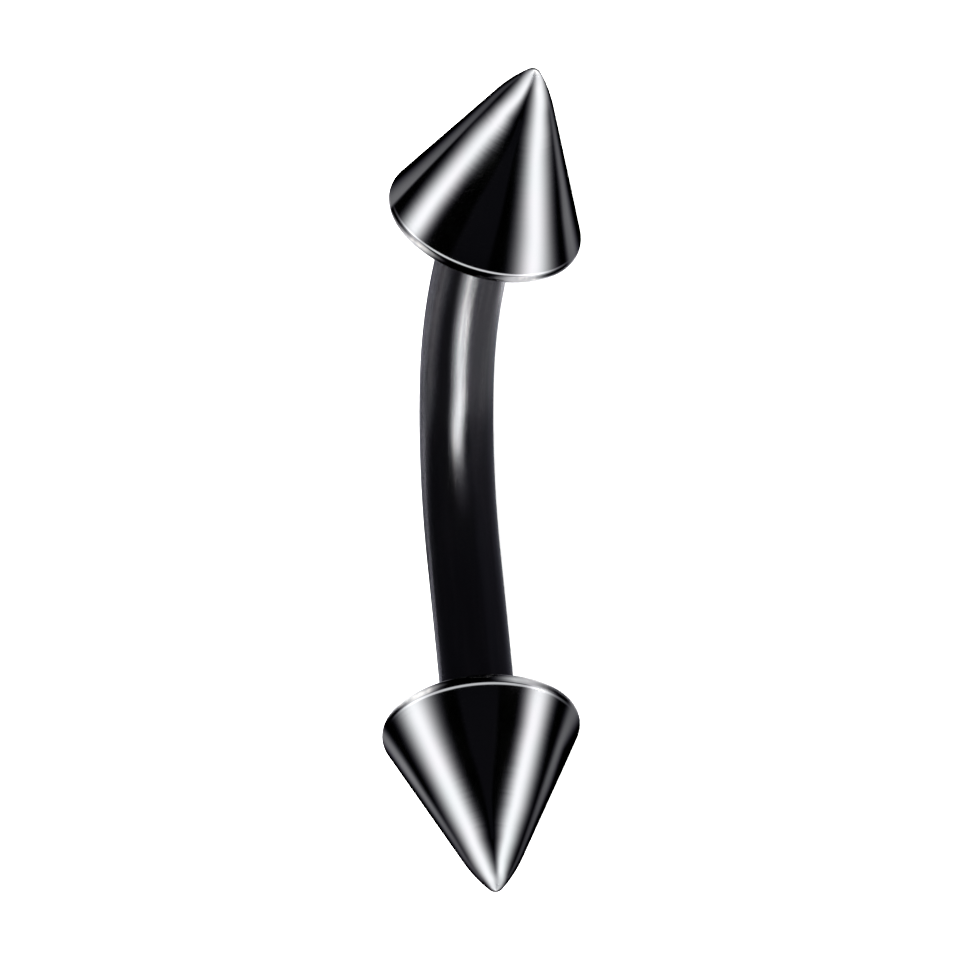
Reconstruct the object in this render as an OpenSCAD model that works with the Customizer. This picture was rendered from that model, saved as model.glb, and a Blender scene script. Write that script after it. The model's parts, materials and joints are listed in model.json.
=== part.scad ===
// Curved eyebrow barbell with two spikes that screw on, in millimetres.
// It lies as it rests by itself, on the rims of both spikes and on the middle of the bar.
// X runs along the barbell from the lower spike to the upper one, and +Z is up.
// The origin is on the floor, in the middle of the box round the whole barbell.

/* [Bar] */
// Thickness of the bar, 16 gauge
bar_d = 1.2; // [1:0.1:1.6]
// Straight distance between the seats of the two spikes
wear_length = 8; // [6:0.5:12]
// How far the bar bends from end to end, in degrees
bend = 72.6; // [40:0.2:90]
// How far the plane of the bend turns from end to end, in degrees
twist = 37.6; // [0:0.4:60]

/* [Threaded ends] */
// Diameter over the thread
thread_d = 1.08; // [0.9:0.02:1.1]
// Length of a threaded end, past its seat
thread_l = 1.6; // [1.2:0.1:2]
// Diameter of the plain neck beside the seat
neck_d = 0.86; // [0.7:0.02:0.9]
// Length of the plain neck
neck_l = 0.15; // [0.1:0.05:0.3]
// Bevel on the free end
end_bevel = 0.12; // [0.05:0.01:0.2]

/* [Spikes] */
// Widest diameter of a spike
spike_d = 3.2; // [2.6:0.1:4]
// Height of a spike, from its seat to its tip
spike_h = 3.15; // [2.8:0.05:5]
// Rounding of the rim round the seat
rim_r = 0.13; // [0.05:0.01:0.2]
// Radius of the blunt tip
tip_r = 0.15; // [0.08:0.01:0.25]
// Radius of the slight swelling behind the tip
swell_r = 3; // [1:0.1:4]
// How far the outline turns along that swelling, in degrees
swell_turn = 14; // [4:1:20]

/* [Fits] */
// Radial clearance of a threaded end in its hole
thread_gap = 0.03; // [0.02:0.01:0.05]
// Gap between a spike and its seat on the bar
seat_gap = 0.02; // [0.01:0.01:0.04]
// Free depth of the hole past the threaded end
hole_room = 0.1; // [0.05:0.05:0.2]

/* [Hidden] */
$fn = 64;
steel_black = "#17181b";

// The bar is three equal arcs, and the plane of each is turned a little from the one before
arc_bend = bend / 3;
arc_turn = twist / 2;

// Directions and places are first worked out in the bar's own frame: its middle is at the origin,
// with its length there along X and its hollow side towards +Y
function turned_x(a, v) = [v.x, v.y * cos(a) - v.z * sin(a), v.y * sin(a) + v.z * cos(a)];
function turned_z(a, v) = [v.x * cos(a) - v.y * sin(a), v.x * sin(a) + v.y * cos(a), v.z];
function along_outer(v) = turned_z(arc_bend / 2, turned_x(arc_turn, v));
function arc_end(a) = [sin(a), 1 - cos(a), 0];

// The upper seat for a bend of radius 1, and from it the radius that gives the wear length
unit_seat = arc_end(arc_bend / 2) + along_outer(arc_end(arc_bend));
bend_r = wear_length / 2 / norm([unit_seat.x, unit_seat.z]);
upper_seat = bend_r * unit_seat;
upper_axis = along_outer([cos(arc_bend), sin(arc_bend), 0]);

// Half a turn about Y carries one end of the barbell onto the other
function other_end(v) = [-v.x, v.y, -v.z];
lower_seat = other_end(upper_seat);
lower_axis = other_end(upper_axis);

// Outline of a spike: rim, straight flank, swelling and tip, each tangent to the next
rim_at = [spike_d / 2 - rim_r, rim_r];
tip_at = [0, spike_h - tip_r];
flank_pull = swell_r - rim_r - (swell_r - tip_r) * cos(swell_turn);
flank_span = [rim_at.x, tip_at.y - rim_at.y];
flank_a = acos(flank_pull / norm(flank_span)) - atan2(flank_span.y, flank_span.x);
tip_a = flank_a + swell_turn;
function facing(a) = [cos(a), sin(a)];
swell_at = tip_at - (swell_r - tip_r) * facing(tip_a);

// How far a spike reaches from its seat in a direction d, given its own axis
function outline_reach(a) =
    a < flank_a ? rim_at * facing(a) + rim_r
    : a < tip_a ? swell_at * facing(a) + swell_r
    : tip_at * facing(a) + tip_r;
function spike_reach(seat, axis, d) = (seat + seat_gap * axis) * d + outline_reach(asin(axis * d));

// How far the bar reaches in a direction d, by steps along its three arcs
arc_steps = 40;
bar_line = [
    for (i = [0:arc_steps]) let (a = arc_bend * (i / arc_steps - 0.5)) bend_r * arc_end(a),
    for (i = [1:arc_steps]) let (a = arc_bend * i / arc_steps)
        bend_r * (arc_end(arc_bend / 2) + along_outer(arc_end(a)))
];
function bar_reach(d) =
    bar_d / 2 + max([for (p = bar_line) max(p * d, other_end(p) * d)]);

// How far the whole barbell reaches in a direction d
function reach(d) = max(
    bar_reach(d),
    spike_reach(upper_seat, upper_axis, d),
    spike_reach(lower_seat, lower_axis, d)
);

// How it rests: up() is the floor's upright, seen in the bar's own frame, once the barbell has
// rolled and pitched. Drops below the bar's middle line tell what meets the floor first.
function up(roll, pitch) = [-sin(pitch), cos(pitch) * sin(roll), cos(pitch) * cos(roll)];
function upper_drop(u) = spike_reach(upper_seat, upper_axis, -u);
function lower_drop(u) = spike_reach(lower_seat, lower_axis, -u);
function middle_drop(u) = bar_d / 2 + bend_r * (norm([u.x, u.y]) - u.y);

// The pitch at which both rims are level, and the roll at which the bar's middle is level with them,
// each found by halving the range that holds it
halvings = 24;
function level_pitch(roll, low, high, n = halvings) =
    let (mid = (low + high) / 2, u = up(roll, mid))
    n == 0 ? mid
    : upper_drop(u) > lower_drop(u) ? level_pitch(roll, low, mid, n - 1)
    : level_pitch(roll, mid, high, n - 1);
function rest_roll(low, high, n = halvings) =
    let (mid = (low + high) / 2, u = up(mid, level_pitch(mid, -20, 20)))
    n == 0 ? mid
    : middle_drop(u) > upper_drop(u) ? rest_roll(mid, high, n - 1)
    : rest_roll(low, mid, n - 1);
roll = rest_roll(90, 180);
pitch = level_pitch(roll, -20, 20);

// The world's axes in the bar's own frame: Z is the floor's upright and X follows the wear length
world_z = up(roll, pitch);
seat_line = upper_seat - lower_seat;
level_line = seat_line - (seat_line * world_z) * world_z;
world_x = level_line / norm(level_line);
world_y = cross(world_z, world_x);
yaw = atan2(world_y.x, world_x.x);
footing = [
    (reach(-world_x) - reach(world_x)) / 2,
    (reach(-world_y) - reach(world_y)) / 2,
    reach(-world_z)
];

// Puts the barbell on the floor
module laid() {
    translate(footing)
        rotate([roll, pitch, yaw])
            children();
}

// Moves to the end of an arc that starts at the origin along X and bends towards Y
module past_arc(a) {
    translate(bend_r * arc_end(a))
        rotate([0, 0, a])
            children();
}

// Start of an outer arc of the bar. The lower half is the upper half, turned half round Y.
module past_middle(half_turn) {
    rotate([0, half_turn, 0])
        past_arc(arc_bend / 2)
            rotate([arc_turn, 0, 0])
                children();
}

// A seat, with +Z out along the threaded end
module at_seat(half_turn) {
    past_middle(half_turn)
        past_arc(arc_bend)
            rotate([0, 90, 0])
                children();
}

// Stretch of bar that starts at the origin along X and bends towards Y
module bent_rod(from, to) {
    translate([0, bend_r, 0])
        rotate_extrude(angle = to - from, start = from - 90)
            translate([bend_r, 0])
                circle(d = bar_d);
}

// Threaded end as a plain cylinder over the thread, with its neck and bevel
module threaded_end() {
    root = 0.3;
    translate([0, 0, -root])
        cylinder(d = neck_d, h = root + neck_l);
    translate([0, 0, neck_l])
        cylinder(d = thread_d, h = thread_l - neck_l - end_bevel);
    translate([0, 0, thread_l - end_bevel])
        cylinder(d1 = thread_d, d2 = thread_d - 2 * end_bevel, h = end_bevel);
}

// Bent bar with both threaded ends, one solid
module bar() {
    color(steel_black)
        laid()
            union() {
                bent_rod(-arc_bend / 2, arc_bend / 2);
                for (half_turn = [0, 180]) {
                    past_middle(half_turn)
                        bent_rod(0, arc_bend);
                    at_seat(half_turn)
                        threaded_end();
                }
            }
}

// Half of a spike's outline, seat at the bottom
module spike_outline() {
    swell_from = swell_at + swell_r * facing(flank_a);
    swell_to = swell_at + swell_r * facing(tip_a);
    bow = swell_r / cos(swell_turn / 2);
    translate(rim_at)
        circle(r = rim_r);
    polygon([[0, 0], [rim_at.x, 0], rim_at + rim_r * facing(flank_a), swell_from, swell_to, tip_at, [0, tip_at.y]]);
    intersection() {
        translate(swell_at)
            circle(r = swell_r, $fn = 256);
        polygon([[0, swell_from.y], swell_from, swell_at + bow * facing((flank_a + tip_a) / 2), swell_to, [0, swell_to.y]]);
    }
    intersection() {
        translate(tip_at)
            circle(r = tip_r);
        translate([0, tip_at.y - tip_r])
            square([tip_r, 2 * tip_r]);
    }
}

// Turned spike with a blind hole for the threaded end
module spike() {
    hole_r = thread_d / 2 + thread_gap;
    hole_depth = thread_l + hole_room;
    drill_point = hole_r * tan(31);
    sink = 0.1;
    translate([0, 0, seat_gap])
        difference() {
            rotate_extrude()
                spike_outline();
            translate([0, 0, -sink])
                cylinder(r = hole_r, h = sink + hole_depth);
            translate([0, 0, hole_depth])
                cylinder(r1 = hole_r, r2 = 0, h = drill_point);
        }
}

module upper_spike() {
    color(steel_black)
        laid()
            at_seat(0)
                spike();
}

module lower_spike() {
    color(steel_black)
        laid()
            at_seat(180)
                spike();
}

bar();
upper_spike();
lower_spike();
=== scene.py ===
"""A curved eyebrow barbell of polished black steel, lying by itself on a pale floor."""
import json
import math
from collections import namedtuple
from itertools import product

import bmesh
import bpy
import numpy as np
from mathutils import Matrix, Vector


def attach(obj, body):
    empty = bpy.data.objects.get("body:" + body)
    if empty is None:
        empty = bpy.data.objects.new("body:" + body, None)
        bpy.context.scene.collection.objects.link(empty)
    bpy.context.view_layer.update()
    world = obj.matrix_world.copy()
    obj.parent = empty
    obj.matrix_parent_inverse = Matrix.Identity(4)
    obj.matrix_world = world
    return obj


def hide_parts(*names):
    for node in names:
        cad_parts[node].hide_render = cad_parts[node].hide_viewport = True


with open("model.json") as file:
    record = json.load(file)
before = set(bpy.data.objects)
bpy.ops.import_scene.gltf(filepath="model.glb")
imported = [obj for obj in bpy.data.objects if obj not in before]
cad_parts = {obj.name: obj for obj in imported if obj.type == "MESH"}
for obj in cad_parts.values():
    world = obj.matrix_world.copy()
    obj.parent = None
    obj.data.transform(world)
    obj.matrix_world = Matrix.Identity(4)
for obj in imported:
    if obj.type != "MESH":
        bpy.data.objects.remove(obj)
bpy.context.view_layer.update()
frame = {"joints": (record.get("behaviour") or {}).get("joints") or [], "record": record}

# Sizes of the barbell, in metres and radians
MM = 0.001
BAR_RADIUS = 0.6 * MM
WEAR_LENGTH = 8 * MM
BEND = math.radians(72.6)
TWIST = math.radians(37.6)
SPIKE_RADIUS = 1.6 * MM
SPIKE_HEIGHT = 3.15 * MM
RIM_RADIUS = 0.13 * MM
TIP_RADIUS = 0.15 * MM
SWELL_RADIUS = 3 * MM
SWELL_TURN = math.radians(14)
SEAT_GAP = 0.02 * MM
# The bar is three equal arcs, and the plane of each is turned a little from the one before
ARC_BEND = BEND / 3
ARC_TURN = TWIST / 2

# Thread on each end of the bar, and the tapped hole that it goes in
THREAD_LENGTH = 1.6 * MM
THREAD_RADIUS = 0.54 * MM
THREAD_PITCH = 0.25 * MM
THREAD_DEPTH = 0.11 * MM
NECK_RADIUS = 0.43 * MM
NECK_LENGTH = 0.15 * MM
END_BEVEL = 0.12 * MM
HOLE_RADIUS = 0.57 * MM
HOLE_DEPTH = 1.7 * MM
DRILL_SLOPE = math.radians(31)
BROKEN_EDGE = 0.025 * MM
# Parts of the thread's slope at which its crest ends and its root begins
CREST_END = 0.12
ROOT_START = 0.92

# How finely the pieces are turned
BAR_FACETS = 96
SPIKE_FACETS = 192
SHARP_ANGLE = math.radians(38)
WELD_DISTANCE = 1e-7

# The photograph's view: direction of the camera, turn of the picture, and what it takes in
VIEW_AZIMUTH = math.radians(5.134)
VIEW_ELEVATION = math.radians(57.828)
VIEW_ROLL = math.radians(-93.757)
VIEW_DISTANCE = 400 * MM
VIEW_WIDTH = 15.449 * MM
VIEW_HEIGHT_OF_AIM = 1.3 * MM
VIEW_OFFSET = (-0.14045 * MM, -0.08296 * MM)
SENSOR_WIDTH = 36

# The plain floor and the light all round it
FLOOR_HALF = 0.6
FLOOR_COLOUR = (0.93, 0.93, 0.93, 1)
FLOOR_ROUGHNESS = 0.9
TENT_BRIGHTNESS = 4.5
WHITE = (1, 1, 1, 1)


# Nodes

def put(socket, value):
    """Links a socket, or sets its value."""
    if isinstance(value, bpy.types.NodeSocket):
        socket.id_data.links.new(value, socket)
    else:
        socket.default_value = value


def add(tree, kind, inputs=(), **settings):
    """A new node with its settings, and its inputs filled by name or by number."""
    node = tree.nodes.new(kind)
    for name, value in settings.items():
        setattr(node, name, value)
    for key, value in dict(inputs).items():
        put(node.inputs[key], value)
    return node


def maths(tree, operation, *values):
    """The result of one sum."""
    return add(tree, "ShaderNodeMath", enumerate(values), operation=operation).outputs[0]


def vectors(tree, operation, *values):
    """The result of one sum with vectors."""
    if operation == "SCALE":
        values = {0: values[0], "Scale": values[1]}
    else:
        values = dict(enumerate(values))
    return add(tree, "ShaderNodeVectorMath", values, operation=operation).outputs[0]


def fade(tree, value, nothing, full):
    """0 where a value is at one limit and 1 at the other, smoothly."""
    inputs = {"Value": value, "From Min": nothing, "From Max": full}
    return add(tree, "ShaderNodeMapRange", inputs, interpolation_type="SMOOTHSTEP").outputs[0]


# Where the barbell lies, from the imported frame

def bar_place():
    """Turns the bar's own frame into the floor's: X along its middle, Y to its hollow side."""
    mount = frame["record"]["mounts"][0]
    axes = [Vector(joint["axis"]) for joint in frame["joints"]]
    along = Vector(mount["axis"]).normalized()
    hollow = sum(axes, Vector()).normalized()
    place = Matrix((along, hollow, along.cross(hollow))).transposed().to_4x4()
    place.translation = Vector(mount["pos_m"])
    return place


def on_arc(radius, angle):
    """A frame past an arc that starts at the origin along X and bends towards Y."""
    end = Vector((math.sin(angle), 1 - math.cos(angle), 0))
    return Matrix.Translation(radius * end) @ Matrix.Rotation(angle, 4, "Z")


def outer_arc(radius):
    """The frame at the start of the upper outer arc."""
    return on_arc(radius, ARC_BEND / 2) @ Matrix.Rotation(ARC_TURN, 4, "X")


def bend_radius():
    """Radius of the bend that sets the two seats the wear length apart."""
    seat = (outer_arc(1) @ on_arc(1, ARC_BEND)).translation
    return WEAR_LENGTH / 2 / math.hypot(seat.x, seat.z)


PLACE = bar_place()
BEND_RADIUS = bend_radius()
HALF_TURN = Matrix.Rotation(math.pi, 4, "Y")
UPPER_SEAT = outer_arc(BEND_RADIUS) @ on_arc(BEND_RADIUS, ARC_BEND)
SEATS = {"upper_spike": PLACE @ UPPER_SEAT, "lower_spike": PLACE @ HALF_TURN @ UPPER_SEAT}
ARC_LENGTH = BEND_RADIUS * ARC_BEND
ROD_LENGTH = 3 * ARC_LENGTH
BAR_LENGTH = ROD_LENGTH + 2 * THREAD_LENGTH


def bar_route(steps=40):
    """Middle line of the bar from the free end of one thread to the free end of the other."""
    middle = [on_arc(BEND_RADIUS, ARC_BEND / 2 * i / steps) for i in range(steps)]
    start = outer_arc(BEND_RADIUS)
    outer = [start @ on_arc(BEND_RADIUS, ARC_BEND * i / steps) for i in range(steps + 1)]
    thread = [UPPER_SEAT @ Matrix.Translation((THREAD_LENGTH, 0, 0))]
    upper_half = [m.translation for m in middle + outer + thread]
    lower_half = [HALF_TURN @ point for point in upper_half[:0:-1]]
    return [PLACE @ point for point in lower_half + upper_half]


def spike_route(name):
    """Axis of a spike from its seat face to its tip."""
    seat = SEATS[name]
    return [seat @ Vector((SEAT_GAP + height, 0, 0)) for height in (0, SPIKE_HEIGHT)]


# Outlines: points of (distance along the route, radius, depth of the thread there)

Turned = namedtuple("Turned", "along radius groove", defaults=(0,))


def eased(start, end, count):
    """Steps from start to end, closer together near both."""
    shares = [(1 - math.cos(math.pi * i / count)) / 2 for i in range(count + 1)]
    return [start + (end - start) * share for share in shares]


def straight(start, end, count):
    """Turned points on a straight stretch between two others, closer together near both."""
    along = eased(start.along, end.along, count)
    radius = eased(start.radius, end.radius, count)
    return [Turned(a, r) for a, r in zip(along, radius)]


def rounded(centre, radius, start, end, count):
    """Turned points round an arc. At angle 0 it faces away from the axis, and at 90 degrees onwards."""
    angles = [start + (end - start) * i / count for i in range(count + 1)]
    return [
        Turned(centre.along + radius * math.sin(angle), centre.radius + radius * math.cos(angle))
        for angle in angles
    ]


def threaded(start, end, radius, depth, per_turn=18):
    """Turned points of a threaded stretch. The thread fades in and out over half a turn."""
    count = round(abs(end - start) / THREAD_PITCH * per_turn)
    points = []
    for i in range(count + 1):
        along = start + (end - start) * i / count
        from_end = min(abs(along - start), abs(end - along))
        share = min(1, from_end / (THREAD_PITCH / 2))
        points.append(Turned(along, radius, depth * share))
    return points


def bar_end():
    """Outline of a threaded end, from its free end to where the bent rod starts."""
    neck_start = Turned(THREAD_LENGTH - NECK_LENGTH, NECK_RADIUS)
    neck_end = Turned(THREAD_LENGTH, NECK_RADIUS)
    thread_end = neck_start.along - (THREAD_RADIUS - NECK_RADIUS) / 2
    seat = Turned(THREAD_LENGTH, BAR_RADIUS - BROKEN_EDGE)
    edge_centre = Turned(THREAD_LENGTH + BROKEN_EDGE, seat.radius)
    return [
        *straight(Turned(0, 0), Turned(0, THREAD_RADIUS - END_BEVEL), count=4),
        *threaded(END_BEVEL, thread_end, THREAD_RADIUS, THREAD_DEPTH),
        *straight(neck_start, neck_end, count=4),
        *straight(neck_end, seat, count=3)[1:],
        *rounded(edge_centre, BROKEN_EDGE, -math.pi / 2, 0, count=5)[1:],
    ]


def bar_outline(steps=200):
    """Outline of the whole bar. Its second half is the first one, the other way round."""
    end = bar_end()
    start = end[-1].along
    step = (BAR_LENGTH - 2 * start) / steps
    rod = [Turned(start + step * i, BAR_RADIUS) for i in range(1, steps)]
    far_end = [point._replace(along=BAR_LENGTH - point.along) for point in reversed(end)]
    return end + rod + far_end


def flank_slope():
    """How far the straight flank's face leans to the tip, so that it meets the rim and the swelling."""
    pull = SWELL_RADIUS - RIM_RADIUS - (SWELL_RADIUS - TIP_RADIUS) * math.cos(SWELL_TURN)
    out = SPIKE_RADIUS - RIM_RADIUS
    up = SPIKE_HEIGHT - TIP_RADIUS - RIM_RADIUS
    return math.acos(pull / math.hypot(out, up)) - math.atan2(up, out)


def spike_side():
    """Outline of a spike's outside from its seat face on: rim, flank, swelling and tip."""
    slope = flank_slope()
    tip_slope = slope + SWELL_TURN
    rim = Turned(RIM_RADIUS, SPIKE_RADIUS - RIM_RADIUS)
    tip = Turned(SPIKE_HEIGHT - TIP_RADIUS, 0)
    back = SWELL_RADIUS - TIP_RADIUS
    swell = Turned(tip.along - back * math.sin(tip_slope), tip.radius - back * math.cos(tip_slope))
    rim_arc = rounded(rim, RIM_RADIUS, -math.pi / 2, slope, count=40)
    swell_arc = rounded(swell, SWELL_RADIUS, slope, tip_slope, count=16)
    tip_arc = rounded(tip, TIP_RADIUS, tip_slope, math.pi / 2, count=16)
    flank = straight(rim_arc[-1], swell_arc[0], count=24)
    return rim_arc + flank[1:] + swell_arc[1:] + tip_arc[1:]


def spike_outline():
    """Outline of a spike from the bottom of its hole, out over the seat face and up to its tip."""
    drill_point = HOLE_DEPTH + HOLE_RADIUS * math.tan(DRILL_SLOPE)
    mouth = HOLE_RADIUS + BROKEN_EDGE
    side = spike_side()
    return [
        *straight(Turned(drill_point, 0), Turned(HOLE_DEPTH, HOLE_RADIUS), count=6),
        *threaded(HOLE_DEPTH - NECK_LENGTH, THREAD_PITCH / 2, HOLE_RADIUS, -THREAD_DEPTH),
        Turned(BROKEN_EDGE, HOLE_RADIUS),
        *straight(Turned(0, mouth), side[0], count=16),
        *side[1:],
    ]


# Turning an outline round its route

TURN_INPUTS = {
    "Route": "NodeSocketObject",
    "Steps Round": "NodeSocketInt",
    "Pitch": "NodeSocketFloat",
    "Finish": "NodeSocketMaterial",
}


def turning_tree():
    """Geometry nodes that turn an outline round a route and cut a right-hand thread where it has one."""
    tree = bpy.data.node_groups.new("turn_round_route", "GeometryNodeTree")
    tree.interface.new_socket("Geometry", in_out="INPUT", socket_type="NodeSocketGeometry")
    for name, kind in TURN_INPUTS.items():
        tree.interface.new_socket(name, in_out="INPUT", socket_type=kind)
    tree.interface.new_socket("Geometry", in_out="OUTPUT", socket_type="NodeSocketGeometry")
    given = tree.nodes.new("NodeGroupInput").outputs
    outline = given["Geometry"]
    grid, ring, turn = turning_grid(tree, outline, given["Steps Round"])
    point = outline_value(tree, outline, ring, "FLOAT_VECTOR", "position")
    groove = outline_value(tree, outline, ring, "FLOAT", "groove")
    along, radius, _ = add(tree, "ShaderNodeSeparateXYZ", {0: point}).outputs
    cut = maths(tree, "MULTIPLY", groove, thread_wave(tree, along, turn, given["Pitch"]))
    place = round_route(tree, given["Route"], along, turn, maths(tree, "SUBTRACT", radius, cut))
    turned = add(tree, "GeometryNodeSetPosition", {"Geometry": grid, "Position": place}).outputs[0]
    marked = keep_own_place(tree, turned, along, radius, turn)
    add(tree, "NodeGroupOutput", {"Geometry": finished_mesh(tree, marked, given["Finish"])})
    return tree


def turning_grid(tree, outline, steps):
    """A grid with a ring for each point of the outline; each corner's ring, and its part of a turn."""
    columns = maths(tree, "ADD", steps, 1)
    rings = add(tree, "GeometryNodeAttributeDomainSize", {"Geometry": outline}).outputs["Point Count"]
    inputs = {"Vertices X": rings, "Vertices Y": columns}
    grid = add(tree, "GeometryNodeMeshGrid", inputs).outputs["Mesh"]
    index = tree.nodes.new("GeometryNodeInputIndex").outputs[0]
    ring = maths(tree, "FLOOR", maths(tree, "DIVIDE", maths(tree, "ADD", index, 0.5), columns))
    step = maths(tree, "SUBTRACT", index, maths(tree, "MULTIPLY", ring, columns))
    return grid, ring, maths(tree, "DIVIDE", step, steps)


def finished_mesh(tree, mesh, finish):
    """The mesh with its seam and poles closed, smooth, real and with its finish."""
    inputs = {"Geometry": mesh, "Distance": WELD_DISTANCE}
    closed = add(tree, "GeometryNodeMergeByDistance", inputs).outputs[0]
    smooth = add(tree, "GeometryNodeSetShadeSmooth", {"Geometry": closed}).outputs[0]
    real = add(tree, "GeometryNodeRealizeInstances", {"Geometry": smooth}).outputs[0]
    return add(tree, "GeometryNodeSetMaterial", {"Geometry": real, "Material": finish}).outputs[0]


def outline_value(tree, outline, ring, kind, name):
    """What the outline holds under a name, at the point that this ring is turned from."""
    if name == "position":
        field = tree.nodes.new("GeometryNodeInputPosition").outputs[0]
    else:
        field = add(tree, "GeometryNodeInputNamedAttribute", {"Name": name}, data_type=kind).outputs[0]
    inputs = {"Geometry": outline, "Value": field, "Index": ring}
    return add(tree, "GeometryNodeSampleIndex", inputs, data_type=kind).outputs[0]


def thread_wave(tree, along, turn, pitch):
    """0 on the crest of the thread and 1 at its root, with both slightly rounded."""
    phase = maths(tree, "SUBTRACT", maths(tree, "DIVIDE", along, pitch), turn)
    slope = maths(tree, "MULTIPLY", maths(tree, "PINGPONG", phase, 0.5), 2)
    return fade(tree, slope, nothing=CREST_END, full=ROOT_START)


def round_route(tree, route, along, turn, radius):
    """The point at a distance along the route, a part of a turn round it and a radius away."""
    curve = add(tree, "GeometryNodeObjectInfo", {"Object": route}).outputs["Geometry"]
    inputs = {"Curves": curve, "Length": along}
    sample = add(tree, "GeometryNodeSampleCurve", inputs, mode="LENGTH").outputs
    across = vectors(tree, "CROSS_PRODUCT", sample["Tangent"], sample["Normal"])
    angle = maths(tree, "MULTIPLY", turn, 2 * math.pi)
    one_way = vectors(tree, "SCALE", sample["Normal"], maths(tree, "COSINE", angle))
    other_way = vectors(tree, "SCALE", across, maths(tree, "SINE", angle))
    spoke = vectors(tree, "SCALE", vectors(tree, "ADD", one_way, other_way), radius)
    return vectors(tree, "ADD", sample["Position"], spoke)


def keep_own_place(tree, mesh, along, radius, turn):
    """Keeps each corner's place along the route and across it, as if the route were straight."""
    angle = maths(tree, "MULTIPLY", turn, 2 * math.pi)
    one_way = maths(tree, "MULTIPLY", radius, maths(tree, "COSINE", angle))
    other_way = maths(tree, "MULTIPLY", radius, maths(tree, "SINE", angle))
    place = add(tree, "ShaderNodeCombineXYZ", {0: along, 1: one_way, 2: other_way}).outputs[0]
    inputs = {"Geometry": mesh, "Name": "own_place", "Value": place}
    kind = {"data_type": "FLOAT_VECTOR", "domain": "POINT"}
    return add(tree, "GeometryNodeStoreNamedAttribute", inputs, **kind).outputs[0]


def route_curve(points):
    """A curve with straight steps through the points."""
    curve = bpy.data.curves.new("route", "CURVE")
    curve.dimensions = "3D"
    spline = curve.splines.new("POLY")
    spline.points.add(len(points) - 1)
    for spot, point in zip(spline.points, points):
        spot.co = (*point, 1)
    made = bpy.data.objects.new("route", curve)
    bpy.context.scene.collection.objects.link(made)
    return made


def outline_mesh(name, outline):
    """The outline as loose points that carry the depth of the thread."""
    mesh = bpy.data.meshes.new(name)
    mesh.from_pydata([(point.along, point.radius, 0) for point in outline], [], [])
    grooves = mesh.attributes.new("groove", "FLOAT", "POINT")
    grooves.data.foreach_set("value", [point.groove for point in outline])
    made = bpy.data.objects.new(name + "_outline", mesh)
    bpy.context.scene.collection.objects.link(made)
    return made


def turned_piece(name, outline, route, steps_round, finish):
    """A piece turned from its outline round its route, as one plain closed mesh."""
    pattern = outline_mesh(name, outline)
    guide = route_curve(route)
    modifier = pattern.modifiers.new("turning", "NODES")
    modifier.node_group = bpy.data.node_groups.get("turn_round_route") or turning_tree()
    values = {"Route": guide, "Steps Round": steps_round, "Pitch": THREAD_PITCH, "Finish": finish}
    for socket in modifier.node_group.interface.items_tree:
        if socket.in_out == "INPUT" and socket.name in values:
            modifier[socket.identifier] = values[socket.name]
    bpy.context.view_layer.update()
    evaluated = pattern.evaluated_get(bpy.context.evaluated_depsgraph_get())
    mesh = bpy.data.meshes.new_from_object(evaluated)
    mesh.name = name
    for helper in (pattern, guide):
        bpy.data.objects.remove(helper)
    face_outwards(mesh)
    piece = bpy.data.objects.new(name, mesh)
    bpy.context.scene.collection.objects.link(piece)
    return piece


def face_outwards(mesh):
    """Turns every face outwards, and keeps an edge sharp where faces meet steeply."""
    shell = bmesh.new()
    shell.from_mesh(mesh)
    bmesh.ops.recalc_face_normals(shell, faces=shell.faces)
    shell.to_mesh(mesh)
    shell.free()
    mesh.set_sharp_from_angle(angle=SHARP_ANGLE)


# Finishes

COATING = (0.0805, 0.0793, 0.082, 1)
COOL_COATING = (0.0765, 0.08, 0.081, 1)
BARE_STEEL = (0.2, 0.19, 0.18, 1)

# Roughness of each steel where it is glossiest and where it is dullest, and its relief in metres
SPIKE_ROUGHNESS = (0.055, 0.088)
BAR_ROUGHNESS = (0.118, 0.16)
SPIKE_RELIEF = 2e-7
BAR_RELIEF = 1e-6

# Noise: how strong its finest grain is, and the values that most of it lies between
GRAIN_ROUGHNESS = 0.55
GRAIN_LOW = 0.3
GRAIN_HIGH = 0.7

# Places on a piece, in mm from its middle line or along it: where each starts, and where it is whole
RIM_CREST = (1.585, 1.6)
TIP_CREST = (3.08, 3.15)
HOLE_WALL = (0.64, 0.6)
HOLE_END = (2.13, 2.07)
THREAD_SURFACE = (0.56, 0.55)
THREAD_CREST = (0.5, 0.535)

# How much of the coating is gone where it is worn most
EDGE_WEAR = 0.5
CREST_WEAR = 0.8
DRAWN_WEAR = 0.22


def steel(name):
    """A new metal with its tree and its shader."""
    material = bpy.data.materials.new(name)
    material.use_nodes = True
    tree = material.node_tree
    shader = tree.nodes["Principled BSDF"]
    shader.inputs["Metallic"].default_value = 1
    return material, tree, shader


def own_place(tree):
    """A point's place on its piece in mm: along it, and across it two ways."""
    place = add(tree, "ShaderNodeAttribute", attribute_name="own_place").outputs["Vector"]
    return vectors(tree, "SCALE", place, 1 / MM)


def grain(tree, place, along, across, detail):
    """Noise with so many cycles a mm along the piece and across it."""
    stretched = vectors(tree, "MULTIPLY", place, (along, across, across))
    inputs = {"Vector": stretched, "Scale": 1, "Detail": detail, "Roughness": GRAIN_ROUGHNESS}
    return add(tree, "ShaderNodeTexNoise", inputs).outputs["Fac"]


def spread(tree, value, low, high):
    """Noise turned into values from low to high."""
    inputs = {"Value": value, "From Min": GRAIN_LOW, "From Max": GRAIN_HIGH, "To Min": low, "To Max": high}
    return add(tree, "ShaderNodeMapRange", inputs).outputs[0]


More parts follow.
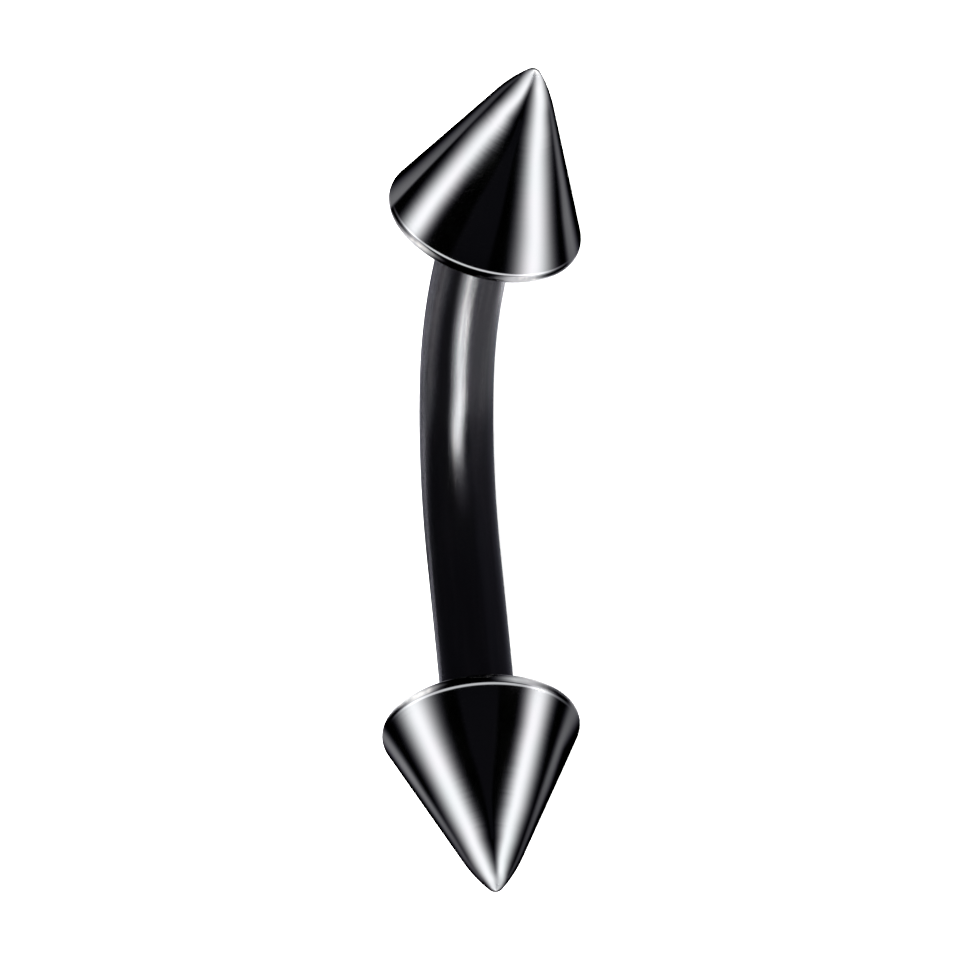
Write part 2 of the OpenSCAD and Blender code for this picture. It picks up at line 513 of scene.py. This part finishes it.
def length_and_radius(tree, place):
    """How far along its piece a point is and how far from its middle line, in mm."""
    along, one_way, other_way = add(tree, "ShaderNodeSeparateXYZ", {0: place}).outputs
    across = add(tree, "ShaderNodeCombineXYZ", {1: one_way, 2: other_way}).outputs[0]
    return along, add(tree, "ShaderNodeVectorMath", {0: across}, operation="LENGTH").outputs["Value"]


def hairlines(tree, place, along, across, width):
    """1 on thin broken lines where two noises cross, 0 beside them."""
    lines = grain(tree, place, along, across, detail=1)
    off_line = maths(tree, "ABSOLUTE", maths(tree, "SUBTRACT", lines, 0.5))
    on_line = fade(tree, off_line, nothing=width, full=width / 4)
    patches = grain(tree, place, along=0.9, across=1.3, detail=1)
    return maths(tree, "MULTIPLY", on_line, fade(tree, patches, nothing=0.55, full=0.62))


def plus(tree, value, mask, amount):
    """A value with an amount added to it where a mask is 1."""
    return maths(tree, "ADD", value, maths(tree, "MULTIPLY", mask, amount))


def blend(tree, share, first, second):
    """The first colour, with a share of the second in it."""
    mix = add(tree, "ShaderNodeMix", data_type="RGBA")
    colours = [socket for socket in mix.inputs if socket.type == "RGBA"]
    for socket, value in zip([mix.inputs[0], *colours], (share, first, second)):
        put(socket, value)
    return next(socket for socket in mix.outputs if socket.type == "RGBA")


def show(tree, shader, tone, wear):
    """Colours a steel: its coating is cooler in patches, and bare steel shows where that is worn."""
    coating = blend(tree, tone, COATING, COOL_COATING)
    put(shader.inputs["Base Color"], blend(tree, wear, coating, BARE_STEEL))


def roughen(tree, shader, roughness, height, depth):
    """Gives a steel its polish, and a relief as deep as depth."""
    put(shader.inputs["Roughness"], roughness)
    relief = add(tree, "ShaderNodeBump", {"Strength": 1, "Distance": depth, "Height": height})
    put(shader.inputs["Normal"], relief.outputs[0])


def worn_spike(tree, place, along, radius):
    """How much coating is gone from a spike: patches on the crest of its rim and on its tip."""
    edges = maths(tree, "MAXIMUM", fade(tree, radius, *RIM_CREST), fade(tree, along, *TIP_CREST))
    patches = fade(tree, grain(tree, place, along=3, across=3, detail=3), nothing=0.42, full=0.66)
    return maths(tree, "MULTIPLY", edges, maths(tree, "MULTIPLY", patches, EDGE_WEAR))


def in_hole(tree, along, radius):
    """1 in a spike's hole and 0 on its outside."""
    return maths(tree, "MULTIPLY", fade(tree, radius, *HOLE_WALL), fade(tree, along, *HOLE_END))


def spike_steel(name):
    """Turned steel under a black coating, polished to a mirror, with rings, smudges and hairlines."""
    material, tree, shader = steel("spike_steel_" + name)
    place = own_place(tree)
    along, radius = length_and_radius(tree, place)
    smudges = grain(tree, place, along=1.1, across=1.1, detail=3)
    rings = grain(tree, place, along=13, across=0.7, detail=1)
    scratches = hairlines(tree, place, along=6, across=0.3, width=0.01)
    show(tree, shader, spread(tree, smudges, 0, 1), worn_spike(tree, place, along, radius))
    polish = plus(tree, spread(tree, smudges, *SPIKE_ROUGHNESS), scratches, amount=0.015)
    roughness = plus(tree, polish, in_hole(tree, along, radius), amount=0.25)
    relief = plus(tree, rings, scratches, amount=-0.12)
    roughen(tree, shader, roughness, relief, SPIKE_RELIEF)
    return material


def worn_bar(tree, radius, drawn, thread):
    """How much coating is gone from the bar: most of it on the thread's crests, some on drawn lines."""
    crest = maths(tree, "MULTIPLY", fade(tree, radius, *THREAD_CREST), thread)
    rubbed = fade(tree, drawn, nothing=0.42, full=0.7)
    on_crest = maths(tree, "MULTIPLY", crest, CREST_WEAR)
    on_lines = maths(tree, "MULTIPLY", rubbed, DRAWN_WEAR)
    return maths(tree, "MAXIMUM", on_crest, on_lines)


def bar_steel():
    """Drawn steel under a black coating, softly polished, with drawn lines and bright crests."""
    material, tree, shader = steel("bar_steel")
    place = own_place(tree)
    _, radius = length_and_radius(tree, place)
    mottling = grain(tree, place, along=1.3, across=2.2, detail=3)
    drawn = grain(tree, place, along=0.45, across=9, detail=3)
    scratches = hairlines(tree, place, along=0.4, across=6, width=0.012)
    thread = fade(tree, radius, *THREAD_SURFACE)
    show(tree, shader, spread(tree, mottling, 0, 1), worn_bar(tree, radius, drawn, thread))
    polish = plus(tree, spread(tree, mottling, *BAR_ROUGHNESS), scratches, amount=0.04)
    roughness = plus(tree, polish, thread, amount=0.14)
    relief = plus(tree, drawn, scratches, amount=-0.2)
    roughen(tree, shader, roughness, relief, BAR_RELIEF)
    return material


# Pieces

def bar():
    """The bent bar with its two threaded ends."""
    piece = turned_piece("black_bar", bar_outline(), bar_route(), BAR_FACETS, bar_steel())
    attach(piece, "bar")
    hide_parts("bar")
    return piece


def spike(name):
    """A turned spike with its tapped hole."""
    finish = spike_steel(name)
    piece = turned_piece("black_" + name, spike_outline(), spike_route(name), SPIKE_FACETS, finish)
    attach(piece, name)
    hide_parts(name)
    return piece


# Camera, floor and light

def direction(azimuth, elevation):
    """The direction at these angles: azimuth 0 is towards -Y, and a quarter turn on it is towards +X."""
    return Vector((
        math.sin(azimuth) * math.cos(elevation),
        -math.cos(azimuth) * math.cos(elevation),
        math.sin(elevation),
    ))


def picture_axes():
    """Right, up and towards the viewer in the picture, as directions on the floor's frame."""
    back = direction(VIEW_AZIMUTH, VIEW_ELEVATION)
    level = Vector((math.cos(VIEW_AZIMUTH), math.sin(VIEW_AZIMUTH), 0))
    upright = back.cross(level)
    right = math.cos(VIEW_ROLL) * level + math.sin(VIEW_ROLL) * upright
    up = math.cos(VIEW_ROLL) * upright - math.sin(VIEW_ROLL) * level
    return right, up, back


RIGHT, UP, BACK = picture_axes()


def camera():
    """The camera at the photograph's angle, with a long lens."""
    lens = bpy.data.cameras.new("camera")
    lens.sensor_width = SENSOR_WIDTH
    lens.lens = SENSOR_WIDTH * VIEW_DISTANCE / VIEW_WIDTH
    lens.clip_start = VIEW_DISTANCE / 10
    lens.clip_end = VIEW_DISTANCE * 10
    aim = Vector((0, 0, VIEW_HEIGHT_OF_AIM)) + RIGHT * VIEW_OFFSET[0] + UP * VIEW_OFFSET[1]
    made = bpy.data.objects.new("camera", lens)
    turn = Matrix((RIGHT, UP, BACK)).transposed().to_4x4()
    made.matrix_world = Matrix.Translation(aim + BACK * VIEW_DISTANCE) @ turn
    bpy.context.scene.collection.objects.link(made)
    bpy.context.scene.camera = made


def floor():
    """A plain pale floor. It isn't mirrored in the steel, so that the panels alone draw its shine."""
    mesh = bpy.data.meshes.new("floor")
    corners = [(x * FLOOR_HALF, y * FLOOR_HALF, 0) for x, y in ((-1, -1), (1, -1), (1, 1), (-1, 1))]
    mesh.from_pydata(corners, [], [(0, 1, 2, 3)])
    material = bpy.data.materials.new("pale_floor")
    material.use_nodes = True
    shader = material.node_tree.nodes["Principled BSDF"]
    shader.inputs["Base Color"].default_value = FLOOR_COLOUR
    shader.inputs["Roughness"].default_value = FLOOR_ROUGHNESS
    shader.inputs["Specular IOR Level"].default_value = 0
    mesh.materials.append(material)
    made = bpy.data.objects.new("floor", mesh)
    bpy.context.scene.collection.objects.link(made)
    made.visible_glossy = False
    made.visible_shadow = False


def surroundings():
    """Even white light from all round. It lights the floor and isn't mirrored in the steel."""
    world = bpy.data.worlds.new("white_tent")
    world.use_nodes = True
    light = world.node_tree.nodes["Background"]
    light.inputs["Color"].default_value = WHITE
    light.inputs["Strength"].default_value = TENT_BRIGHTNESS
    bpy.context.scene.world = world
    world.cycles_visibility.glossy = False
    bpy.context.scene.view_settings.view_transform = "Standard"


# Panels of light. Each is a thin sheet that stands where a stretch of a piece's side mirrors it to the
# camera, at its reach from that side. The columns of its stations are: height in mm above the seat
# face, or along the bar from its lower seat; start, first, last and end, turns round the piece in
# degrees from the side nearest the camera; brightness. There the sheet brightens from start to first
# and fades from last to end. The panels of the tips and of the thin lines at the rims stand close by,
# so that they stay small from other sides.
SPIKE_REACH = 12 * MM
LINE_REACH = 0.15 * MM
TIP_REACH = 0.5 * MM
BAR_REACH = 300 * MM
SIDE_PANEL_REACH = 300 * MM
Panel = namedtuple("Panel", "name piece stations reach", defaults=(SPIKE_REACH,))
PANELS = [
    Panel("upper_left", "upper_spike", (
        (0.17, -60, -40, -38, -20, 1.5), (0.195, -60, -41, -40, -22, 4.5),
        (0.23, -60, -42, -41, -27, 12.3), (0.9, -64, -42, -42, -25, 12.3), (1.5, -67, -40, -40, -20, 11.8),
        (2.1, -71, -36, -36, -10, 12), (2.4, -69, -31, -31, -1, 12.3), (2.6, -66, -26, -25, 4, 12),
        (2.8, -70, -17, -16, 7, 12), (2.95, -78, -14, -13, 14, 12), (3.05, -96, -14, -12, 24, 10.8),
        (3.1, -101, -14, -11, 25, 9.6), (3.118, -103, -14, -11, 25, 0),
    )),
    Panel("upper_left_tip", "upper_spike", (
        (3.1, -101, -14, -11, 25, 0), (3.118, -103, -14, -11, 25, 9), (3.15, -106, -14, -10, 26, 8.5),
    ), TIP_REACH),
    Panel("upper_right", "upper_spike", (
        (0.17, 20, 40, 41, 65, 3), (0.195, 20, 40, 41, 65, 8), (0.23, 19, 40, 41, 65, 12),
        (0.9, 17, 41, 41, 66, 12), (1.5, 15, 39, 40, 69, 12), (2.1, 11, 38, 38, 74, 12),
        (2.4, 5, 39, 41, 78, 12), (2.6, 2, 40, 42, 83, 11.8), (2.8, -2, 42, 46, 96, 12),
        (2.95, -4, 42, 48, 108, 12.3), (3.05, -14, 46, 56, 116, 11), (3.1, -17, 46, 58, 118, 9.8),
        (3.118, -18, 46, 59, 119, 0),
    )),
    Panel("upper_right_tip", "upper_spike", (
        (3.1, -17, 46, 58, 118, 0), (3.118, -18, 46, 59, 119, 9.2), (3.15, -20, 46, 60, 120, 8.5),
    ), TIP_REACH),
    Panel("upper_front", "upper_spike", (
        (0.24, -16, -11, 9, 14, 0.04), (1.2, -14, -9, 10, 14, 0.045),
        (2, -6, -2, 8, 12, 0.045), (2.5, 0, 3, 8, 10, 0.04),
    )),
    Panel("upper_left_back", "upper_spike", (
        (0.1, -96, -70, -70, -66, 1.1), (0.3, -94, -70, -70, -66, 1.3), (0.9, -92, -70, -70, -67, 1.1),
        (1.5, -92, -71, -70, -66, 0.8), (2.1, -92, -72, -70, -64, 0.6), (2.5, -92, -74, -70, -60, 0.4),
        (3, -90, -74, -70, -60, 0.3),
    )),
    Panel("upper_right_back", "upper_spike", (
        (0.1, 66, 74, 77, 94, 0.7), (0.5, 66, 74, 77, 94, 0.9), (1, 66, 74, 77, 93, 0.95),
        (1.5, 66, 77, 78, 93, 0.8), (2.4, 66, 76, 78, 94, 0.55), (3, 66, 76, 78, 94, 0.2),
    )),
    Panel("upper_rim_left", "upper_spike", (
        (0.01, -60, -38, -28, -18, 0.3), (0.03, -60, -38, -28, -18, 0.5), (0.065, -60, -38, -28, -16, 2),
        (0.096, -60, -38, -32, -14, 4.6), (0.13, -58, -34, -30, -10, 6.4),
        (0.165, -58, -32, -28, -14, 4.8), (0.178, -56, -34, -32, -20, 4), (0.186, -56, -36, -34, -24, 0),
    )),
    Panel("upper_rim_right", "upper_spike", (
        (0.01, 14, 30, 46, 80, 0.4), (0.03, 14, 30, 46, 80, 0.8), (0.065, 14, 30, 44, 82, 2.8),
        (0.096, 12, 28, 40, 70, 5.8), (0.13, 10, 28, 38, 56, 7.2), (0.175, 14, 28, 38, 56, 7),
        (0.19, 18, 30, 36, 54, 0),
    )),
    Panel("upper_rim_line", "upper_spike", (
        (0.186, -80, -20, 30, 84, 0), (0.197, -80, -20, 30, 84, 8), (0.211, -80, -20, 30, 84, 8),
        (0.222, -80, -20, 30, 84, 0),
    ), LINE_REACH),
    Panel("upper_tip", "upper_spike", (
        (3, -120, -60, 70, 130, 0), (3.05, -120, -60, 70, 130, 0.3), (3.1, -120, -60, 70, 130, 1.1),
        (3.15, -120, -60, 70, 130, 2),
    ), TIP_REACH),
    Panel("lower_left", "lower_spike", (
        (0.17, -60, -38, -38, -14, 3), (0.19, -60, -39, -39, -15, 9), (0.25, -66, -43, -43, -19, 12.3),
        (0.9, -69, -42, -42, -19, 12), (1.5, -70, -41, -40, -16, 12), (2.1, -74, -38, -37, -9, 12),
        (2.4, -75, -35, -35, -1, 12.2), (2.6, -76, -34, -33, 5, 12), (2.8, -84, -31, -29, 13, 12),
        (2.95, -86, -30, -28, 27, 12.3), (3.05, -86, -28, -20, 44, 12), (3.1, -88, -28, -19, 47, 10.8),
        (3.118, -89, -28, -18, 48, 0),
    )),
    Panel("lower_left_tip", "lower_spike", (
        (3.1, -88, -28, -19, 47, 0), (3.118, -89, -28, -18, 48, 10.2), (3.15, -90, -28, -18, 50, 9.5),
    ), TIP_REACH),
    Panel("lower_right", "lower_spike", (
        (0.17, 24, 39, 40, 58, 3), (0.19, 24, 39, 40, 58, 6.5), (0.25, 24, 39, 40, 58, 11.5),
        (0.9, 23, 39, 40, 60, 11.8), (1.5, 18.5, 37, 38, 65, 12), (2.1, 9.5, 35, 35, 69, 12.2),
        (2.4, 3, 31, 31, 69, 12.2), (2.6, 1, 26, 27, 68, 12), (2.8, -1, 22, 24, 70, 12),
        (2.95, -4, 24, 26, 76, 12.3), (3.05, -14, 32, 38, 94, 8.5), (3.1, -17, 32, 39, 99, 7.5),
        (3.118, -18, 32, 40, 101, 0),
    )),
    Panel("lower_right_tip", "lower_spike", (
        (3.1, -17, 32, 39, 99, 0), (3.118, -18, 32, 40, 101, 7.1), (3.15, -20, 32, 40, 104, 6.5),
    ), TIP_REACH),
    Panel("lower_front", "lower_spike", (
        (0.24, -16, -11, 12, 17, 0.045), (1.2, -14, -9, 10, 14, 0.045),
        (2, -6, -2, 4, 8, 0.045), (2.5, -2, 1, 4, 6, 0.04),
    )),
    Panel("lower_left_back", "lower_spike", (
        (0.1, -98, -82, -82, -72, 0.6), (0.3, -98, -82, -81, -71, 0.75), (0.9, -96, -80, -79, -69, 1.05),
        (1.5, -94, -78, -78, -68, 0.95), (2.1, -92, -76, -75, -64, 0.75), (2.4, -92, -74, -72, -62, 0.6),
        (3, -92, -74, -72, -62, 0.3),
    )),
    Panel("lower_right_back", "lower_spike", (
        (0.1, 60, 71, 73, 96, 0.85), (0.4, 61, 71, 72, 92, 0.9), (0.9, 62, 71, 72, 83, 1),
        (1.5, 63, 72, 73, 90, 0.8), (2.1, 63, 73, 76, 88, 0.45), (2.5, 63, 72, 76, 88, 0.3),
        (3, 63, 72, 76, 88, 0.3),
    )),
    Panel("lower_rim_left", "lower_spike", (
        (0.01, -84, -42, -32, -18, 0.4), (0.03, -84, -42, -32, -18, 0.8),
        (0.065, -90, -46, -34, -18, 2.8), (0.096, -80, -40, -32, -16, 5.8),
        (0.13, -62, -38, -32, -14, 7.6), (0.17, -58, -38, -32, -18, 7), (0.186, -58, -40, -34, -24, 0),
    )),
    Panel("lower_rim_right", "lower_spike", (
        (0.01, 8, 34, 38, 62, 0.4), (0.03, 8, 34, 38, 62, 0.8), (0.065, 8, 32, 38, 60, 3),
        (0.096, 6, 26, 34, 56, 5.2), (0.13, 6, 24, 30, 56, 6.8), (0.175, 6, 26, 36, 58, 4.6),
        (0.19, 12, 28, 38, 56, 0),
    )),
    Panel("lower_rim_line", "lower_spike", (
        (0.19, -70, -30, 20, 84, 0), (0.202, -70, -30, 20, 84, 6.5), (0.22, -70, -30, 20, 84, 6.5),
        (0.234, -70, -30, 20, 84, 0),
    ), LINE_REACH),
    Panel("bar_strip", "bar", (
        (8.5, -17, 4, 4, 27, 5.2), (7.8, -17, 4, 4, 27, 5.8), (7.3, -17, 4, 5, 26, 8.6),
        (6.5, -15, 6, 6, 26, 9.4), (6, -16, 5, 6, 24, 10.8), (5.5, -17, 2, 3, 20, 10.6),
        (5.1, -17, 1, 2, 18, 8.6), (4.6, -16, 2, 2, 19, 2.1), (4.2, -12, 4, 4, 28, 0.28),
        (3.6, -12, 4, 4, 34, 0.1), (3, -12, 4, 4, 34, 0),
    ), BAR_REACH),
    Panel("bar_left", "bar", (
        (8.5, -110, -42, -36, -14, 0.72), (7.8, -110, -42, -38, -16, 0.72),
        (7.3, -110, -44, -42, -20, 0.7), (6.5, -110, -48, -46, -21, 0.62), (6, -110, -50, -47, -26, 0.54),
        (5.5, -110, -56, -53, -32, 0.42), (5.1, -110, -60, -56, -36, 0.32),
        (4.6, -110, -62, -58, -38, 0.25), (4.2, -110, -62, -58, -38, 0.17),
        (3.6, -110, -64, -60, -42, 0.12), (3, -110, -64, -60, -44, 0.05), (2.2, -110, -64, -60, -44, 0),
    ), BAR_REACH),
    Panel("bar_left_edge", "bar", (
        (8.5, -92, -86, -84, -34, 0.08), (7.3, -92, -86, -84, -34, 0.1),
        (6.5, -92, -86, -84, -34, 0.26), (5.1, -92, -86, -84, -34, 0.26),
        (4.6, -92, -86, -84, -34, 0.36), (3.6, -92, -86, -84, -34, 0.2),
        (2.2, -92, -86, -84, -34, 0.09), (1.5, -92, -86, -84, -34, 0.12),
        (0.9, -92, -86, -84, -34, 0.22), (0, -92, -86, -84, -34, 0.3),
    ), BAR_REACH),
    Panel("bar_right", "bar", (
        (8.5, 12, 24, 60, 100, 0.52), (6.5, 12, 24, 60, 100, 0.52), (6, 12, 24, 60, 100, 0.38),
        (5.5, 12, 24, 60, 100, 0.16), (5.1, 12, 24, 60, 100, 0.12), (4.6, 12, 24, 60, 100, 0.1),
        (4.2, 12, 24, 60, 100, 0.07), (3.6, 14, 30, 60, 100, 0.06), (0, 14, 30, 60, 100, 0.02),
    ), BAR_REACH),
    Panel("bar_right_edge", "bar", (
        (8.5, 50, 72, 74, 88, 1.7), (7.8, 50, 72, 74, 88, 1.4), (7.3, 44, 80, 82, 90, 0.3),
        (6.4, 44, 80, 82, 90, 0.06), (5.4, 44, 80, 82, 90, 0.06), (4.2, 44, 80, 82, 90, 0.24),
        (0, 44, 80, 82, 90, 0.26),
    ), BAR_REACH),
    Panel("bar_front", "bar", (
        (8.5, -75, -60, 60, 75, 0.09), (6.4, -75, -60, 60, 75, 0.06), (5, -75, -60, 60, 75, 0.045),
        (2.5, -75, -60, 60, 75, 0.04), (0, -75, -60, 60, 75, 0.035),
    ), BAR_REACH),
]

# Wide panels for the sides that the camera doesn't see, with their azimuths and elevations in degrees
SidePanel = namedtuple("SidePanel", "name piece azimuths elevations brightness")
SIDE_PANELS = [
    SidePanel("upper_east", "upper_spike", (25, 112), (-70, 52), 1),
    SidePanel("upper_back", "upper_spike", (174, 216), (-60, 60), 1.6),
    SidePanel("upper_under", "upper_spike", (200, 312), (-88, -40), 0.6),
    SidePanel("lower_west", "lower_spike", (222, 300), (-50, 55), 0.8),
    SidePanel("lower_back", "lower_spike", (136, 182), (-60, 60), 1.6),
    SidePanel("lower_under", "lower_spike", (20, 160), (-88, -42), 0.6),
    SidePanel("bar_east", "bar", (72, 150), (-75, 12), 2),
    SidePanel("bar_west", "bar", (200, 282), (-75, 20), 2),
]
# How violet the faintest light is, and the brightness by which half of that is gone
FAINT_TINT = (0.84, 0.81, 1.17, 1)
TINT_FADES_BY = 0.15


SIDE = spike_side()
SIDE_HEIGHTS = [point.along for point in SIDE]
SIDE_RADII = [point.radius for point in SIDE]
SIDE_SLOPES = np.arctan2(-np.gradient(SIDE_RADII), np.gradient(SIDE_HEIGHTS))
ROD_LINE = bar_route()[1:-1]


def bar_axis(height):
    """Middle and direction of the bar at a distance along it from its lower seat."""
    step = height / ROD_LENGTH * (len(ROD_LINE) - 1)
    first = min(int(step), len(ROD_LINE) - 2)
    start, end = ROD_LINE[first:first + 2]
    return start.lerp(end, step - first), (end - start).normalized()


def spike_axis(name, height):
    """Middle and direction of a spike at a height above its seat face."""
    start, end = spike_route(name)
    axis = (end - start).normalized()
    return start + height * axis, axis


def point_on_side(piece, height, turn):
    """A point on a piece's side and the way that it faces."""
    if piece == "bar":
        centre, axis = bar_axis(height)
        radius, slope = BAR_RADIUS, 0
    else:
        centre, axis = spike_axis(piece, height)
        radius = float(np.interp(height, SIDE_HEIGHTS, SIDE_RADII))
        slope = float(np.interp(height, SIDE_HEIGHTS, SIDE_SLOPES))
    near = (BACK - BACK.dot(axis) * axis).normalized()
    across = axis.cross(near)
    across *= math.copysign(1, across.dot(RIGHT))
    out = math.sin(turn) * across + math.cos(turn) * near
    return centre + radius * out, math.cos(slope) * out + math.sin(slope) * axis


def where_mirrored(piece, height, turn, reach):
    """The place, at a reach from the piece, whose light a point on its side mirrors to the camera."""
    point, facing = point_on_side(piece, height, turn)
    way = 2 * BACK.dot(facing) * facing - BACK
    return point + reach * way


def smooth(ramp):
    """A ramp between 0 and 1 with both of its ends eased."""
    return ramp * ramp * (3 - 2 * ramp)


def brightness_across(turn, start, first, last, end):
    """Brightens from nothing at start to all of it at first, and fades from last to nothing at end."""
    ramp = max(0, min(1, (turn - start) / (first - start), (end - turn) / (end - last)))
    return smooth(ramp) ** 2


def between(first, second, share):
    """The number that is a share of the way from one to another."""
    return first + (second - first) * share


def panel_rows(panel, steps=8):
    """Stations of a panel with more of them in between."""
    rows = []
    for first, second in zip(panel.stations, panel.stations[1:]):
        for i in range(steps):
            rows.append([between(one, other, i / steps) for one, other in zip(first, second)])
    return rows + [panel.stations[-1]]


def panel_mesh(panel, columns=48):
    """The sheet, with the brightness of each corner."""
    corners = []
    brightness = []
    rows = panel_rows(panel)
    for height, start, first, last, end, bright in rows:
        for i in range(columns + 1):
            turn = start + (end - start) * i / columns
            corners.append(where_mirrored(panel.piece, height * MM, math.radians(turn), panel.reach))
            brightness.append(bright * brightness_across(turn, start, first, last, end))
    return sheet_mesh(panel.name, corners, brightness, len(rows), columns + 1)


def sheet_mesh(name, corners, brightness, rows, line):
    """A sheet through rows of corners, each with its brightness."""
    faces = [
        (i * line + j, i * line + j + 1, (i + 1) * line + j + 1, (i + 1) * line + j)
        for i in range(rows - 1)
        for j in range(line - 1)
    ]
    mesh = bpy.data.meshes.new(name)
    mesh.from_pydata(corners, [], faces)
    mesh.attributes.new("brightness", "FLOAT", "POINT").data.foreach_set("value", brightness)
    return mesh


def soft_edges(share, edge=0.35):
    """Brightens from nothing at one edge and fades to nothing at the other, over the same share."""
    return smooth(min(1, share / edge, (1 - share) / edge))


def side_panel_mesh(panel, steps=24):
    """A piece of a sphere round the barbell."""
    corners = []
    brightness = []
    shares = [i / steps for i in range(steps + 1)]
    for up, level in product(shares, shares):
        azimuth = math.radians(between(*panel.azimuths, level))
        elevation = math.radians(between(*panel.elevations, up))
        corners.append(SIDE_PANEL_REACH * direction(azimuth, elevation))
        brightness.append(panel.brightness * soft_edges(up) * soft_edges(level))
    return sheet_mesh(panel.name, corners, brightness, steps + 1, steps + 1)


def panel_light():
    """Light as bright as each corner says, violet where dim. A sheet is clear and hides no other."""
    material = bpy.data.materials.new("panel_light")
    material.use_nodes = True
    tree = material.node_tree
    tree.nodes.clear()
    brightness = add(tree, "ShaderNodeAttribute", attribute_name="brightness").outputs["Fac"]
    most = maths(tree, "ADD", brightness, TINT_FADES_BY)
    colour = blend(tree, maths(tree, "DIVIDE", brightness, most), FAINT_TINT, WHITE)
    light = add(tree, "ShaderNodeEmission", {"Color": colour, "Strength": brightness}).outputs[0]
    clear = add(tree, "ShaderNodeBsdfTransparent").outputs[0]
    both = add(tree, "ShaderNodeAddShader", {0: light, 1: clear}).outputs[0]
    add(tree, "ShaderNodeOutputMaterial", {"Surface": both})
    return material


def light_panel(panel, mesh, material):
    """A soft panel that shows only in the shine of its piece."""
    mesh.materials.append(material)
    made = bpy.data.objects.new(panel.name, mesh)
    bpy.context.scene.collection.objects.link(made)
    made.visible_camera = made.visible_diffuse = made.visible_shadow = False
    lit = bpy.data.collections.new(panel.name + "_lights")
    lit.objects.link(bpy.data.objects["black_" + panel.piece])
    made.light_linking.receiver_collection = lit


camera()
floor()
surroundings()
bar()
for spike_name in SEATS:
    spike(spike_name)
lamp = panel_light()
for each_panel in PANELS:
    light_panel(each_panel, panel_mesh(each_panel), lamp)
for each_panel in SIDE_PANELS:
    light_panel(each_panel, side_panel_mesh(each_panel), lamp)
